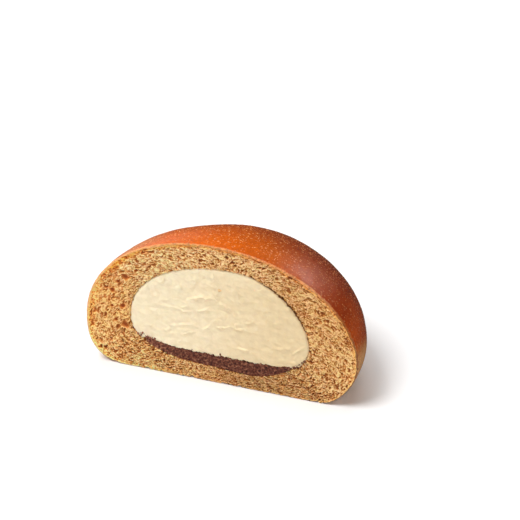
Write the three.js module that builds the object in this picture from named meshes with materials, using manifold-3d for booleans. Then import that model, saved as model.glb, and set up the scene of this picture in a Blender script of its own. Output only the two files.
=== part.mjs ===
// Half of a round cream bun, cut straight down through its middle.
// The cut face stands upright and looks along -Y, and the bun rests on its flat baked base.
// Soft bread goes all round one filling: a shallow bed of sweet bean paste with a mound of cream on it.
import * as THREE from 'three';
import { mergeVertices } from 'three/addons/utils/BufferGeometryUtils.js';
import Module from 'manifold-3d';

const wasm = await Module();
wasm.setup();

// Driving dimensions, in millimetres. While the pieces are made, x runs along the cut from its middle,
// y goes back from the cut plane and z goes up from the base. A power of 2 makes an elliptic quarter
// of an outline, and a higher one makes it squarer.
const bun = {
  axisX: -1.8, // the crown stands a little left of the middle
  leftRadius: 45.7,
  rightRadius: 49.2,
  height: 53.5,
  waistHeight: 16.4, // level of the widest girth
  leftShoulderPower: 2.08,
  rightShoulderPower: 2.05,
  backShoulderDrop: 0.15, // how much lower the power is at the back, which slopes more
  leftFootInset: 15, // from the widest girth in to the edge of the flat base
  rightFootInset: 12.6,
  leftFootPower: 2.55,
  rightFootPower: 1.6,
  backFlattening: 0.024, // share of the radius missing straight behind the cut
  backSkew: 0.042, // share of the radius that moves from the left rear to the right rear
  swell: 0.45, // height of the soft uneven lumps on the crust
};
const filling = {
  axisX: 4.5,
  leftRadius: 36.5,
  rightRadius: 26.2,
  waistHeight: 20.5,
  topHeight: 45.1,
  bottomHeight: 5.7,
  leftTopPower: 2.1,
  rightTopPower: 1.87,
  leftBottomPower: 2.5,
  rightBottomPower: 2.0,
  // where the soft dough below it gave way: the middle, width and depth of each dip of its underside
  dips: [
    { x: -17, width: 5, depth: 0.35 },
    { x: 13, width: 7, depth: 1.1 },
    { x: 28.3, width: 2.2, depth: 1.5 },
  ],
};
const pasteBed = {
  middleHeight: 10.55, // level of the paste's top in the middle
  leftRimRise: 4.1, // how much higher it lies at rimRadius
  rightRimRise: 2.6,
  rimRadius: 30,
  rimPower: 4,
  raggedness: 0.35,
};
const gap = 0.3; // free space between neighbouring pieces
const crumb = {
  cell: 1.2, // spacing of the points on the cut face
  graininess: 0.25,
  poreCount: 420,
  poreRadius: [0.8, 1.5],
  poreDepth: [0.5, 1.2],
  largePoreCount: 24, // the widest pores lie in the left side
  largePoreRadius: [1.5, 2.2],
  largePoreDepth: [1.2, 1.7],
};
const creamFace = {
  cell: 1.8,
  recess: 0.7, // how far the smooth parts lie behind the cut plane
  graininess: 0.07,
};
const pasteFace = { cell: 1.3, recess: 0.15, graininess: 0.6 };

// Ridges that the knife left on the cream: arcs about a centre, from one angle to another in degrees.
const creamRidges = [
  { x: 0, z: 46, radius: 24, from: 205, to: 290, width: 1.5, height: 0.55 },
  { x: -6, z: 12, radius: 21, from: 15, to: 100, width: 1.7, height: 0.6 },
  { x: -12, z: 14, radius: 15, from: 20, to: 120, width: 1.2, height: 0.4 },
  { x: 4, z: 2, radius: 21, from: 40, to: 125, width: 1.6, height: 0.5 },
  { x: 14, z: 24, radius: 9, from: 150, to: 290, width: 1.2, height: 0.4 },
  { x: -26, z: 18, radius: 13, from: 20, to: 80, width: 1.6, height: 0.45 },
];

const bunMesh = { columns: 60, rows: 36 };
const fillingMesh = { columns: 40, rows: 24 };
const bedMesh = { width: 90, floor: -5, steps: 38 };
const finestEdge = 0.03; // smaller slivers are dropped

const quarterTurn = Math.PI / 2;
const soleLatitude = Math.PI / 3; // below this the ball's rows lie on the flat base
const cuttingBlock = { width: 104, depth: 64, below: 4, above: 60 };

const mix = (a, b, share) => a + (b - a) * share;
const between = ([low, high], share) => mix(low, high, share);

// The same row of random shares every time, from a seed.
function drawer(seed) {
  const modulus = 4294967296;
  let state = seed;
  return () => {
    state = (state * 1664525 + 1013904223) % modulus;
    return state / modulus;
  };
}

// A fixed random share for a place on a face.
function shareAt(x, z) {
  const wave = Math.sin(x * 12.9898 + z * 78.233) * 43758.5453;
  return wave - Math.floor(wave);
}

// Out and up along a quarter of a superellipse, each from 0 to 1.
function quarter(turn, power) {
  return {
    out: Math.max(0, Math.cos(turn)) ** (2 / power),
    up: Math.sin(turn) ** (2 / power),
  };
}

// Where a direction from the middle of a ball points: how much of it is to the right, how much goes
// back from the cut, and its latitude. The front half mirrors the rear.
function bearing(direction) {
  const level = Math.hypot(direction.x, direction.y) || 1;
  return {
    level,
    right: direction.x / level,
    back: Math.abs(direction.y) / level,
    latitude: Math.asin(THREE.MathUtils.clamp(direction.z, -1, 1)),
  };
}

function alongBearing(direction, { level }, axisX, radius, z) {
  return new THREE.Vector3(axisX + (radius * direction.x) / level, (radius * direction.y) / level, z);
}

function bunPoint(direction) {
  const way = bearing(direction);
  const rightShare = (1 + way.right) / 2;
  const skew = 2 * way.right * way.back;
  const girth =
    mix(bun.leftRadius, bun.rightRadius, rightShare) *
    (1 - bun.backFlattening * way.back + bun.backSkew * skew);
  const lumps = Math.sin(5 * way.right + 3 * way.latitude + 0.7) * Math.sin(4 * way.latitude + 1.2);
  if (way.latitude >= 0) {
    const power =
      mix(bun.leftShoulderPower, bun.rightShoulderPower, rightShare) - bun.backShoulderDrop * way.back;
    const { out, up } = quarter(way.latitude, power);
    const swell = bun.swell * lumps * way.back;
    const z = bun.waistHeight + (bun.height - bun.waistHeight) * up + swell * up * out;
    return alongBearing(direction, way, bun.axisX, girth * out + swell * out * out, z);
  }
  const inset = mix(bun.leftFootInset, bun.rightFootInset, rightShare);
  const soleRadius = girth - inset;
  if (-way.latitude < soleLatitude) {
    const power = mix(bun.leftFootPower, bun.rightFootPower, rightShare);
    const { out, up: down } = quarter((-way.latitude / soleLatitude) * quarterTurn, power);
    const swell = bun.swell * lumps * way.back * out * out;
    return alongBearing(
      direction, way, bun.axisX, soleRadius + inset * out + swell, bun.waistHeight * (1 - down),
    );
  }
  const outward = (quarterTurn + way.latitude) / (quarterTurn - soleLatitude);
  return alongBearing(direction, way, bun.axisX, soleRadius * outward, 0);
}

// The filling's outer form, or with extra > 0 the hollow that it lies in.
function fillingPoint(direction, extra) {
  const way = bearing(direction);
  const rightShare = (1 + way.right) / 2;
  const girth = mix(filling.leftRadius, filling.rightRadius, rightShare) + extra;
  const rising = way.latitude >= 0;
  const power = rising
    ? mix(filling.leftTopPower, filling.rightTopPower, rightShare)
    : mix(filling.leftBottomPower, filling.rightBottomPower, rightShare);
  const { out, up } = quarter(Math.abs(way.latitude), power);
  if (rising) {
    const rise = filling.topHeight + extra - filling.waistHeight;
    return alongBearing(direction, way, filling.axisX, girth * out, filling.waistHeight + rise * up);
  }
  const drop = filling.waistHeight - filling.bottomHeight + extra;
  const x = filling.axisX + girth * out * way.right;
  const dip = dipAt(x) * Math.min(1, -way.latitude * 2) * out ** 0.2; // none at the waist and the pole
  return alongBearing(direction, way, filling.axisX, girth * out, filling.waistHeight - drop * up - dip);
}

function dipAt(x) {
  return filling.dips.reduce((sum, dip) => sum + dip.depth * Math.exp(-(((x - dip.x) / dip.width) ** 2)), 0);
}

function solidOf(geometry) {
  geometry.deleteAttribute('normal');
  geometry.deleteAttribute('uv');
  const merged = mergeVertices(geometry, 1e-5);
  return new wasm.Manifold(
    new wasm.Mesh({
      numProp: 3,
      vertProperties: new Float32Array(merged.attributes.position.array),
      triVerts: new Uint32Array(merged.index.array),
    }),
  );
}

// A closed ball whose points are put where place(direction) says. Its poles are at the top and bottom.
function shapedBall({ columns, rows }, place) {
  const ball = new THREE.SphereGeometry(1, columns, rows);
  ball.rotateX(quarterTurn);
  const position = ball.attributes.position;
  const direction = new THREE.Vector3();
  for (let i = 0; i < position.count; i += 1) {
    direction.fromBufferAttribute(position, i).normalize();
    const point = place(direction);
    position.setXYZ(i, point.x, point.y, point.z);
  }
  return solidOf(ball);
}

// Everything behind the cut plane, with a front face that has the relief of the food it cuts.
function blockBehindCut(cell, reliefAt) {
  const { width, depth, below, above } = cuttingBlock;
  const height = below + above;
  const block = new THREE.BoxGeometry(
    width, depth, height, Math.round(width / cell), 1, Math.round(height / cell),
  );
  block.translate(0, depth / 2, height / 2 - below);
  const position = block.attributes.position;
  for (let i = 0; i < position.count; i += 1) {
    const x = position.getX(i);
    const z = position.getZ(i);
    const inFace = Math.abs(x) < width / 2 - cell / 2 && z > cell / 2 - below && z < above - cell / 2;
    if (position.getY(i) < depth / 2 && inFace) {
      const shiftedX = x + (shareAt(x, z) - 0.5) * cell * 0.5;
      const shiftedZ = z + (shareAt(z, x) - 0.5) * cell * 0.5;
      position.setXYZ(i, shiftedX, reliefAt(shiftedX, shiftedZ), shiftedZ);
    }
  }
  return solidOf(block);
}

// Random hollows over the cut face. Those near the crust are pressed flat along it.
function drawPores(draw, count, radiusRange, depthRange, place) {
  return Array.from({ length: count }, () => {
    const { x, z } = place(draw);
    return {
      x,
      z,
      radius: between(radiusRange, draw()),
      depth: between(depthRange, draw()),
      stretch: mix(1, 1.9, draw()),
      tilt: Math.atan2(z - bun.waistHeight, x - bun.axisX) + quarterTurn + mix(-0.5, 0.5, draw()),
    };
  });
}

function poreDepthAt(pores, x, z) {
  let depth = 0;
  for (const pore of pores) {
    const along = (x - pore.x) * Math.cos(pore.tilt) + (z - pore.z) * Math.sin(pore.tilt);
    const across = (z - pore.z) * Math.cos(pore.tilt) - (x - pore.x) * Math.sin(pore.tilt);
    const away = Math.hypot(along / pore.stretch, across) / pore.radius;
    if (away < 1) {
      depth = Math.max(depth, pore.depth * (1 - away * away));
    }
  }
  return depth;
}

function crumbRelief() {
  const draw = drawer(20);
  const anywhere = (next) => ({ x: mix(-47, 47, next()), z: mix(1, 52, next()) });
  const leftSide = (next) => ({ x: mix(-45, -33, next()), z: mix(6, 34, next()) });
  const pores = [
    ...drawPores(draw, crumb.poreCount, crumb.poreRadius, crumb.poreDepth, anywhere),
    ...drawPores(draw, crumb.largePoreCount, crumb.largePoreRadius, crumb.largePoreDepth, leftSide),
  ];
  return (x, z) => poreDepthAt(pores, x, z) + crumb.graininess * shareAt(x, z);
}

function ridgeHeightAt(x, z) {
  let height = 0;
  for (const ridge of creamRidges) {
    const angle = THREE.MathUtils.radToDeg(Math.atan2(z - ridge.z, x - ridge.x));
    const turned = THREE.MathUtils.euclideanModulo(angle - ridge.from, 360) / (ridge.to - ridge.from);
    if (turned < 1) {
      const aside = (Math.hypot(x - ridge.x, z - ridge.z) - ridge.radius) / ridge.width;
      const fade = Math.sin(Math.PI * turned);
      height = Math.max(height, ridge.height * fade * Math.exp(-aside * aside));
    }
  }
  return height;
}

const creamRelief = (x, z) =>
  creamFace.recess - ridgeHeightAt(x, z) + creamFace.graininess * (shareAt(x, z) - 0.5);
const pasteRelief = (x, z) => pasteFace.recess + pasteFace.graininess * shareAt(x, z);

// Everything below the top of the bean paste, which lies like a shallow bowl with a ragged surface.
function bedBelow(lift) {
  const { width, floor, steps } = bedMesh;
  const bed = new THREE.BoxGeometry(width, width, 1, steps, steps, 1);
  const position = bed.attributes.position;
  for (let i = 0; i < position.count; i += 1) {
    const x = position.getX(i);
    const y = position.getY(i);
    const rimRise = mix(pasteBed.leftRimRise, pasteBed.rightRimRise, THREE.MathUtils.smoothstep(x, -10, 10));
    const rise = rimRise * (Math.hypot(x, y) / pasteBed.rimRadius) ** pasteBed.rimPower;
    const ragged = pasteBed.raggedness * (shareAt(x, y) - 0.5) * 2;
    const top = pasteBed.middleHeight + rise + ragged + lift;
    position.setZ(i, position.getZ(i) > 0 ? top : floor);
  }
  return solidOf(bed);
}

function meshOf(name, solid, colour, roughness) {
  const { vertProperties, triVerts } = solid.simplify(finestEdge).getMesh();
  const geometry = new THREE.BufferGeometry();
  geometry.setAttribute('position', new THREE.BufferAttribute(new Float32Array(vertProperties), 3));
  geometry.setIndex(new THREE.BufferAttribute(new Uint32Array(triVerts), 1));
  geometry.computeVertexNormals();
  const material = new THREE.MeshStandardMaterial({ color: colour, roughness, metalness: 0 });
  const mesh = new THREE.Mesh(geometry, material);
  mesh.name = name;
  return mesh;
}

// Bread: the whole bun behind the cut, less the hollow for its filling.
function makeBread() {
  const whole = shapedBall(bunMesh, bunPoint);
  const hollow = shapedBall(fillingMesh, (direction) => fillingPoint(direction, gap));
  const half = whole.intersect(blockBehindCut(crumb.cell, crumbRelief()));
  return meshOf('bread', half.subtract(hollow), '#b8672c', 0.45);
}

// Bean paste: the part of the filling below the top of its bed.
function makeBeanPaste(whole) {
  const half = whole.intersect(blockBehindCut(pasteFace.cell, pasteRelief));
  return meshOf('bean_paste', half.intersect(bedBelow(-gap / 2)), '#5f3530', 0.6);
}

// Cream: the mound of filling above the bean paste.
function makeCream(whole) {
  const half = whole.intersect(blockBehindCut(creamFace.cell, creamRelief));
  return meshOf('cream', half.subtract(bedBelow(gap / 2)), '#efdcb2', 0.4);
}

const wholeFilling = shapedBall(fillingMesh, (direction) => fillingPoint(direction, 0));
const creamBun = new THREE.Group();
creamBun.add(makeBread(), makeCream(wholeFilling), makeBeanPaste(wholeFilling));

// The origin is on the base, below the middle of the half bun.
const extent = new THREE.Box3().setFromObject(creamBun);
const middle = extent.getCenter(new THREE.Vector3());
creamBun.position.set(-middle.x, -middle.y, -extent.min.z);

export default creamBun;
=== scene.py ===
import math

import bmesh
import bpy
import numpy as np
from mathutils import Euler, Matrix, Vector


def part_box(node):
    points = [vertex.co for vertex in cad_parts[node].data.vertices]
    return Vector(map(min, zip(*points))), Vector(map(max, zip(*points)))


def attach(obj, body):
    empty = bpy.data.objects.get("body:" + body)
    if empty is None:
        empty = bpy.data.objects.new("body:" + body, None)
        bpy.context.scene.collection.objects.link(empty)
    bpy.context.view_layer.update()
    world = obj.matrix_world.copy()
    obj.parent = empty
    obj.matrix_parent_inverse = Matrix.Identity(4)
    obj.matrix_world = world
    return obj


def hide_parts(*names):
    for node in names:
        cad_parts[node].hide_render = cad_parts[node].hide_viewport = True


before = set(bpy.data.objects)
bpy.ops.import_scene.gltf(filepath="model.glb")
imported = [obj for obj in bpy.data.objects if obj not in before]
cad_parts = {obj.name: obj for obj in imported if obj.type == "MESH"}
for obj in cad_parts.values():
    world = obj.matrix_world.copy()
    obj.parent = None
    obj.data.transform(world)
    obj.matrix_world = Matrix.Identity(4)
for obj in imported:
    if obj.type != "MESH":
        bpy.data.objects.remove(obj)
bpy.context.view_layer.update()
breadLow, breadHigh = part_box("bread")
mm = 0.001
cutY = breadLow.y  # the knife's plane: the cut face looks along -Y
fullTurn = 2 * math.pi
print("frame loaded with", ", ".join(sorted(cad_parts)))


# sockets that can be used in sums
class Wire:
    def __init__(self, bench, socket):
        self.bench = bench
        self.socket = socket

    def __add__(self, other):
        return self.bench.maths("ADD", self, other)

    def __radd__(self, other):
        return self.bench.maths("ADD", other, self)

    def __sub__(self, other):
        return self.bench.maths("SUBTRACT", self, other)

    def __rsub__(self, other):
        return self.bench.maths("SUBTRACT", other, self)

    def __mul__(self, other):
        return self.bench.maths("MULTIPLY", self, other)

    def __truediv__(self, other):
        return self.bench.maths("DIVIDE", self, other)

    def __rtruediv__(self, other):
        return self.bench.maths("DIVIDE", other, self)

    def __gt__(self, other):
        return self.bench.maths("GREATER_THAN", self, other)

    def __lt__(self, other):
        return self.bench.maths("LESS_THAN", self, other)

    def out(self, name):  # another output of the same node
        return Wire(self.bench, self.socket.node.outputs[name])


# one node tree, for a material or for geometry
class Bench:
    def __init__(self, tree):
        self.tree = tree
        tree.nodes.clear()

    def node(self, kind, settings=None, sockets=None, output=0):
        made = self.tree.nodes.new(kind)
        made.location = (180 * (len(self.tree.nodes) % 10), -220 * (len(self.tree.nodes) // 10))
        for name, value in (settings or {}).items():
            if name == "stops":
                self.setStops(made.color_ramp, value)
            else:
                setattr(made, name, value)
        for key, value in (sockets or {}).items():
            if isinstance(value, Wire):
                self.tree.links.new(value.socket, made.inputs[key])
            else:
                made.inputs[key].default_value = value
        return Wire(self, made.outputs[output]) if made.outputs else None

    def setStops(self, ramp, stops):
        while len(ramp.elements) < len(stops):
            ramp.elements.new(1.0)
        for element, (position, colour) in zip(ramp.elements, stops):
            element.position = position
            element.color = colour

    def maths(self, operation, first, second):
        return self.node("ShaderNodeMath", {"operation": operation}, {0: first, 1: second})

    def vector(self, operation, first, second):
        return self.node("ShaderNodeVectorMath", {"operation": operation}, {0: first, 1: second})

    def plus(self, first, second):
        return self.vector("ADD", first, second)

    def times(self, first, second):
        return self.vector("MULTIPLY", first, second)

    def stretch(self, vector, amount):
        sockets = {"Vector": vector, "Scale": amount}
        return self.node("ShaderNodeVectorMath", {"operation": "SCALE"}, sockets)

    def split(self, vector):  # gives X, and Y and Z by out()
        return self.node("ShaderNodeSeparateXYZ", None, {0: vector})

    def join(self, x=0.0, y=0.0, z=0.0):
        return self.node("ShaderNodeCombineXYZ", None, {0: x, 1: y, 2: z})

    def ease(self, value, low, high, start=0.0, end=1.0):
        sockets = {0: value, 1: low, 2: high, 3: start, 4: end}
        return self.node("ShaderNodeMapRange", {"interpolation_type": "SMOOTHSTEP"}, sockets)

    def blend(self, share, first, second):
        return self.node("ShaderNodeMix", {"data_type": "RGBA"}, {0: share, 6: first, 7: second}, output=2)

    def noise(self, place, scale, detail=2.0, rough=0.5):
        sockets = {"Vector": place, "Scale": scale, "Detail": detail, "Roughness": rough}
        return self.node("ShaderNodeTexNoise", None, sockets)

    def sway(self, place, scale, detail=2.0, rough=0.5):  # noise as a push to any side
        colour = self.noise(place, scale, detail, rough).out("Color")
        return self.vector("SUBTRACT", colour, (0.5, 0.5, 0.5))

    def cells(self, place, scale, feature="F1"):
        return self.node("ShaderNodeTexVoronoi", {"feature": feature}, {"Vector": place, "Scale": scale})

    def ramp(self, value, stops):
        return self.node("ShaderNodeValToRGB", {"stops": stops}, {0: value})

    def tones(self, value, stops):  # a ramp of red, green and blue to multiply a colour by
        return self.ramp(value, [(place, (*tone, 1.0)) for place, tone in stops])


def tint(code):  # a screen colour as the linear one that a shader takes
    parts = [int(code[i:i + 2], 16) / 255 for i in (0, 2, 4)]
    return tuple(p / 12.92 if p <= 0.04045 else ((p + 0.055) / 1.055) ** 2.4 for p in parts) + (1.0,)


def tints(stops):
    return [(place, tint(code)) for place, code in stops]


def linked(name, data):
    made = bpy.data.objects.new(name, data)
    bpy.context.scene.collection.objects.link(made)
    return made


# the bun's outer form, as on the CAD part: quarters of superellipses round an upright axis
bunForm = {
    "crownX": -1.8 * mm,
    "leftRadius": 45.7 * mm,
    "rightRadius": 49.2 * mm,
    "height": breadHigh.z,
    "waistHeight": 16.4 * mm,
    "cutMiddle": 18 * mm,
    "shoulderPower": (2.08, 2.05),  # left, right
    "backShoulderDrop": 0.15,
    "footInset": (15.0 * mm, 12.6 * mm),
    "footPower": (2.55, 1.6),
    "backFlattening": 0.024,
    "backSkew": 0.042,
    "swell": 0.45 * mm,
    "soleLatitude": math.pi / 3,
}
fillingForm = {
    "crownX": 4.5 * mm,
    "leftRadius": 36.5 * mm,
    "rightRadius": 26.2 * mm,
    "waistHeight": 20.5 * mm,
    "topHeight": 45.1 * mm,
    "bottomHeight": 5.7 * mm,
    "topPower": (2.1, 1.87),  # left, right
    "bottomPower": (2.5, 2.0),
}
pasteTop = {
    "middleHeight": 10.55 * mm,
    "rimRise": (4.1 * mm, 2.6 * mm),  # left, right
    "rimRadius": 30 * mm,
    "rimPower": 4,
    "uneven": 0.17 * mm,
    "waves": [(0.9, 0.3, 1.0), (2.3, 1.9, 0.8), (4.1, 0.6, 0.7), (7.3, 2.2, 0.6), (11.7, 4.4, 0.45)],
}
soleBumps = {
    "most": 1.5 * mm,  # how far the uneven sole rises at most off what the bun stands on
    "fade": 3.5 * mm,
    "waves": [(0.42, 0.31, 1.0, 0.8), (1.15, -0.7, 2.1, 0.6), (2.3, 1.9, 0.4, 0.7), (4.1, -3.3, 4.0, 0.55)],
}
# dips of the filling's underside: middle, width and depth in mm
hollowDips = [(13.0, 7.0, 1.1), (28.3, 2.2, 0.9), (-17.0, 5.0, 0.35), (-2.5, 3.0, -0.4)]


def between(pair, share):
    return pair[0] + (pair[1] - pair[0]) * share


def quarter(turn, power):
    return np.maximum(np.cos(turn), 0) ** (2 / power), np.sin(turn) ** (2 / power)


def bearings(directions):
    x, y, z = directions.T
    level = np.hypot(x, y)
    level[level < 1e-12] = 1.0
    return x / level, y / level, np.arcsin(np.clip(z, -1, 1))


def bunSurface(directions):  # where directions from the bun's middle meet its crust
    form = bunForm
    right, depth, latitude = bearings(directions)
    back = np.abs(depth)
    share = (1 + right) / 2
    girth = between((form["leftRadius"], form["rightRadius"]), share)
    girth = girth * (1 - form["backFlattening"] * back + form["backSkew"] * 2 * right * back)
    power = between(form["shoulderPower"], share) - form["backShoulderDrop"] * back
    out, up = quarter(np.abs(latitude), power)
    ripple = np.sin(5 * right + 3 * latitude + 0.7) * np.sin(4 * latitude + 1.2)
    swell = form["swell"] * ripple * back
    topReach = girth * out + swell * out * out
    topLevel = form["waistHeight"] + (form["height"] - form["waistHeight"]) * up + swell * up * out
    inset = between(form["footInset"], share)
    footTurn = np.clip(-latitude / form["soleLatitude"], 0, 1) * math.pi / 2
    footOut, footDown = quarter(footTurn, between(form["footPower"], share))
    footReach = girth - inset + inset * footOut + swell * footOut * footOut
    soleShare = (math.pi / 2 + latitude) / (math.pi / 2 - form["soleLatitude"])
    lowReach = np.where(-latitude < form["soleLatitude"], footReach, (girth - inset) * soleShare)
    lowLevel = np.where(-latitude < form["soleLatitude"], form["waistHeight"] * (1 - footDown), 0)
    reach = np.where(latitude >= 0, topReach, lowReach)
    level = np.where(latitude >= 0, topLevel, lowLevel)
    return unevenSole(np.stack([form["crownX"] + reach * right, cutY + reach * depth, level], -1))


def unevenSole(points):
    x, y, z = points.T
    total = sum(wave[3] for wave in soleBumps["waves"])
    rise = sum(size * np.sin(a * x / mm + b * y / mm + turn) for a, b, turn, size in soleBumps["waves"])
    fade = np.clip(1 - z / soleBumps["fade"], 0, 1) ** 2
    lift = soleBumps["most"] * ((rise / total + 1) / 2) ** 3.5 * fade
    return np.stack([x, y, z + lift], -1)


def fillingSurface(directions, extra=0.0):  # the filling's outer form, or its hollow with a gap
    form = fillingForm
    right, depth, latitude = bearings(directions)
    share = (1 + right) / 2
    girth = between((form["leftRadius"], form["rightRadius"]), share) + extra
    power = np.where(latitude >= 0, between(form["topPower"], share), between(form["bottomPower"], share))
    out, up = quarter(np.abs(latitude), power)
    rise = form["topHeight"] + extra - form["waistHeight"]
    drop = form["bottomHeight"] - extra - form["waistHeight"]
    level = form["waistHeight"] + np.where(latitude >= 0, rise, drop) * up
    x = form["crownX"] + girth * out * right
    dip = sum(deep * np.exp(-((x / mm - middle) / width) ** 2) for middle, width, deep in hollowDips)
    level = level - dip * mm * np.clip(-latitude * 2, 0, 1) * out ** 0.2
    return np.stack([x, cutY + girth * out * depth, level], -1)


def hollowFloor(x):  # the level of the filling's underside along the cut
    line = fillingSurface(towards(np.linspace(math.pi, fullTurn, 2000), math.pi / 2))[:, [0, 2]]
    return np.interp(x, line[:, 0], line[:, 1])


def towards(around, opening):  # around the cut face from +X, and opening from straight back to the cut
    around, opening = np.broadcast_arrays(around, opening)
    side = np.sin(opening)
    return np.stack([np.cos(around) * side, np.cos(opening), np.sin(around) * side], -1)


def evenAngles(surface, count):  # angles whose points are evenly spaced along the cut outline
    fine = np.linspace(0, fullTurn, 8001)
    line = surface(towards(fine, math.pi / 2))[:, [0, 2]]
    run = np.concatenate([[0], np.cumsum(np.hypot(*np.diff(line, axis=0).T))])
    return np.interp(np.arange(count) / count, run / run[-1], fine)


# a closed mesh made ring by ring
class Skin:
    def __init__(self):
        self.points = []
        self.faces = []
        self.marks = {}

    def ring(self, points, **marks):
        start = sum(len(p) for p in self.points)
        self.points.append(points)
        for name, values in marks.items():
            self.marks.setdefault(name, []).append((start, values))
        return np.arange(start, start + len(points))

    def band(self, first, second):  # second may have a whole number of times fewer points
        step = len(first) // len(second)
        for i in range(len(second)):
            edge = [first[(i * step + k) % len(first)] for k in range(step + 1)]
            self.faces.append([*edge, second[(i + 1) % len(second)], second[i]])

    def cap(self, ring, point):
        tip = self.ring(np.array([point]))[0]
        for i, corner in enumerate(ring):
            self.faces.append([corner, ring[(i + 1) % len(ring)], tip])

    def close(self, last, rings, point):  # bands from one ring to the next, and a tip
        for points in rings:
            ring = self.ring(points)
            self.band(last, ring)
            last = ring
        self.cap(last, point)

    def piece(self, name):
        mesh = bpy.data.meshes.new(name)
        faces = [[int(i) for i in face] for face in self.faces]
        mesh.from_pydata(np.concatenate(self.points).tolist(), [], faces)
        for mark, parts in self.marks.items():
            wide = parts[0][1].ndim == 2
            values = np.zeros((len(mesh.vertices), 3) if wide else len(mesh.vertices), np.float32)
            for start, part in parts:
                values[start:start + len(part)] = part
            layer = mesh.attributes.new(mark, "FLOAT_VECTOR" if wide else "FLOAT", "POINT")
            layer.data.foreach_set("vector" if wide else "value", values.ravel())
        made = bmesh.new()
        made.from_mesh(mesh)
        bmesh.ops.recalc_face_normals(made, faces=made.faces)
        made.to_mesh(mesh)
        made.free()
        mesh.shade_smooth()
        return linked(name, mesh)


# geometry trees
def newGrowth(name, inputs):
    tree = bpy.data.node_groups.new(name, "GeometryNodeTree")
    tree.interface.new_socket("Geometry", in_out="INPUT", socket_type="NodeSocketGeometry")
    for label, value in inputs.items():
        kind = "NodeSocketInt" if isinstance(value, int) else "NodeSocketFloat"
        tree.interface.new_socket(label, in_out="INPUT", socket_type=kind).default_value = value
    tree.interface.new_socket("Geometry", in_out="OUTPUT", socket_type="NodeSocketGeometry")
    bench = Bench(tree)
    return bench, bench.node("NodeGroupInput")


def endGrowth(bench, geometry, material):
    real = bench.node("GeometryNodeRealizeInstances", None, {"Geometry": geometry})
    coated = bench.node("GeometryNodeSetMaterial", None, {"Geometry": real, "Material": material})
    bench.node("NodeGroupOutput", None, {0: coated})
    return bench.tree


def grow(piece, tree, values):  # runs the tree and keeps its result as the plain mesh of piece
    modifier = piece.modifiers.new(tree.name, "NODES")
    modifier.node_group = tree
    for socket in tree.interface.items_tree:
        if socket.in_out == "INPUT" and socket.name in values:
            modifier[socket.identifier] = values[socket.name]
    bpy.context.view_layer.update()
    depsgraph = bpy.context.evaluated_depsgraph_get()
    grown = bpy.data.meshes.new_from_object(piece.evaluated_get(depsgraph), depsgraph=depsgraph)
    piece.modifiers.clear()
    piece.data = grown
    piece.data.name = piece.name
    return piece


def named(bench, name, kind="FLOAT"):  # what Skin.ring kept on the points
    return bench.node("GeometryNodeInputNamedAttribute", {"data_type": kind}, {"Name": name})


def shadeOf(bench, name):  # the same, in a material
    return bench.node("ShaderNodeAttribute", {"attribute_name": name}).out("Fac")


def keepMark(bench, geometry, name, value):
    sockets = {"Geometry": geometry, "Name": name, "Value": value}
    return bench.node("GeometryNodeStoreNamedAttribute", {"data_type": "FLOAT", "domain": "POINT"}, sockets)


def moved(bench, geometry, offset):
    return bench.node("GeometryNodeSetPosition", None, {"Geometry": geometry, "Offset": offset})


def chanceOf(bench, sockets):  # a random number for each point
    return bench.node("FunctionNodeRandomValue", {"data_type": "FLOAT"}, sockets, output=1)


def newMaterial(name):  # with its tree, and each point's place on the piece
    material = bpy.data.materials.new(name)
    material.use_nodes = True
    bench = Bench(material.node_tree)
    return material, bench, bench.node("ShaderNodeTexCoord").out("Object")


def endMaterial(bench, sockets):
    shader = bench.node("ShaderNodeBsdfPrincipled", None, sockets)
    bench.node("ShaderNodeOutputMaterial", None, {"Surface": shader})


def bumped(bench, height, distance):
    return bench.node("ShaderNodeBump", None, {"Height": height, "Distance": distance, "Strength": 1.0})


crustValues = {
    "columns": 720,
    "rows": 110,
    "coarser": 6,  # the hidden inside has this many times fewer columns
    "thickness": (0.55 * mm, 0.22 * mm),  # at the crown and under the sole
    "rimRows": 4,
    "rimRound": 0.2 * mm,
    "insideRows": 9,
    "reliefRows": 4,  # from the cut to where the relief is full
    "tornRows": 2,
    "dimple": 0.13 * mm,
    "dimpleSize": 6.5 * mm,
    "grain": 0.03 * mm,
    "grainSize": 1.1 * mm,
    "ragged": 0.16 * mm,  # unevenness of the cut edge
    # from the right side to the crown: partly the baking, partly painted light and shade, brightest on the
    # crown where the light falls most and darkest on the right side, which is lit least
    "bakeAndShade": [(0.0, "be4c08"), (0.12, "963404"), (0.35, "9c3a08"), (0.72, "c45706"), (1.0, "e4660c")],
    "lean": 0.45,  # a step to the right counts as this share of a step down
    "back": "86320a",
    "backShare": (0.42, 0.8),  # at the middle and at the right
    # a painted reflection: the left shoulder near the cut turns paler and pinker
    "paintedSheen": "f2ac80",
    "paintedSheenShare": 0.72,
    "golden": "c87a34",  # between the baked side and the pale foot
    "goldenShare": 0.8,
    "foot": "dca268",
    "footHeight": 14.0,  # mm
    "footRise": (9.0, 5.0),  # mm more at the cut, and more again at its left end
    "speck": "f0ad72",
    "speckShare": 0.5,
    "scales": {"drift": 70.0, "grain": 850.0, "fine": 2300.0, "torn": 1100.0, "specks": 900.0},  # per metre
    "roughness": 0.23,
    "bump": 0.25 * mm,
    "finish": {
        "Specular IOR Level": 0.3,
        "Coat Weight": 0.05,
        "Coat Roughness": 0.14,
        "Subsurface Weight": 0.05,
        "Subsurface Radius": (1.0, 0.35, 0.12),
        "Subsurface Scale": 0.0012,
    },
}
# the crust as its edge shows round the cut, for each share of the way from the left and under the bun
rimColours = [
    (0.0, "f6b878"), (0.02, "f6c08a"), (0.05, "ce9a6c"), (0.2, "a26c48"), (0.4, "9c6440"),
    (0.5, "a86e3c"), (0.55, "ae601e"), (0.61, "e8a268"), (0.68, "ee9e5a"), (0.78, "e09a58"),
    (0.9, "f8b070"), (1.0, "f6b878"),
]


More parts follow.
